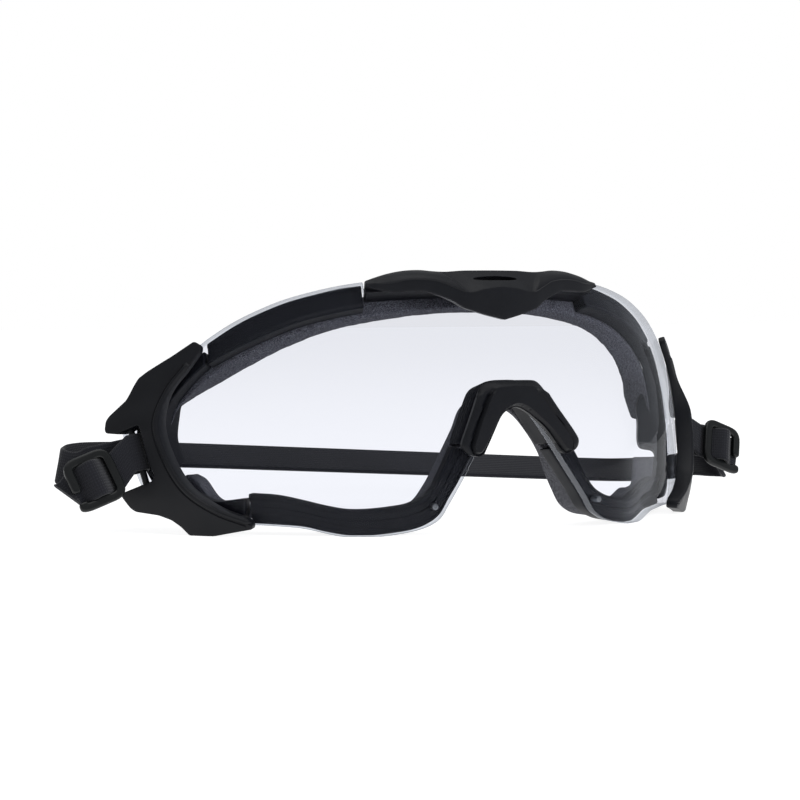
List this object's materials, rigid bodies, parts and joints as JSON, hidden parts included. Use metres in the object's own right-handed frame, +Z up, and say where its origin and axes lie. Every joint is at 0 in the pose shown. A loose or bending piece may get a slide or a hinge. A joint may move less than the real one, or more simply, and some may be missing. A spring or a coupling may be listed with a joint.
{
  "type": "sports protective goggles",
  "caption": "Clear wrap-round protective sports goggles with a padded rear frame, a nose clip, side arms and a flat elastic head strap on adjustable slides.",
  "frame": {"origin": "on the resting surface, below the middle of the whole object's box", "axes": "+Z up, the front of the lens faces -Y, +X runs from one side arm to the other across the width"},
  "size_m": [0.2176, 0.0664, 0.0674],
  "materials": {
    "clear_lens": "clear polished polycarbonate with a faint cool tint",
    "frame_plastic": "fine matte black moulding",
    "rim_rubber": "soft matte black elastomer",
    "foam": "open-cell charcoal foam",
    "strap": "flat woven elastic, near black",
    "slide_plastic": "satin black moulding",
    "peg_metal": "small bright peg head"
  },
  "bodies": {
    "front": {"lens": "clear_lens", "left_lens_peg": "peg_metal", "right_lens_peg": "peg_metal", "brow_cover": "frame_plastic", "brow_vent_filter": "foam", "left_upper_rim": "rim_rubber", "right_upper_rim": "rim_rubber", "left_side_wall": "rim_rubber", "right_side_wall": "rim_rubber", "left_lower_rim": "rim_rubber", "right_lower_rim": "rim_rubber", "nose_saddle": "rim_rubber", "foam_upper": "foam", "left_foam_lower": "foam", "right_foam_lower": "foam", "left_arm": "frame_plastic", "right_arm": "frame_plastic", "left_strap_post": "frame_plastic", "right_strap_post": "frame_plastic", "nose_clip": "frame_plastic", "strap_band": "strap"},
    "left_loop": {"left_strap_loop": "strap"},
    "right_loop": {"right_strap_loop": "strap"},
    "left_end": {"left_strap_tail": "strap", "left_strap_slide": "slide_plastic"},
    "right_end": {"right_strap_tail": "strap", "right_strap_slide": "slide_plastic"}
  },
  "joints": [
    {"name": "left_strap_swivel", "type": "hinge", "parent": "front", "child": "left_loop", "pos_m": [-0.08462, 0.01645, 0.01985], "axis": [0.144, -0.3464, -0.927], "range_deg": [-5, 10]},
    {"name": "right_strap_swivel", "type": "hinge", "parent": "front", "child": "right_loop", "pos_m": [0.08839, 0.01645, 0.01985], "axis": [0.144, 0.3464, 0.927], "range_deg": [-5, 10]},
    {"name": "left_slide_shift", "type": "slide", "parent": "left_loop", "child": "left_end", "axis": [-0.9369, 0.0387, -0.3473], "range_m": [-0.001, 0.004]},
    {"name": "right_slide_shift", "type": "slide", "parent": "right_loop", "child": "right_end", "axis": [0.9369, 0.0387, -0.3473], "range_m": [-0.001, 0.004]}
  ]
}
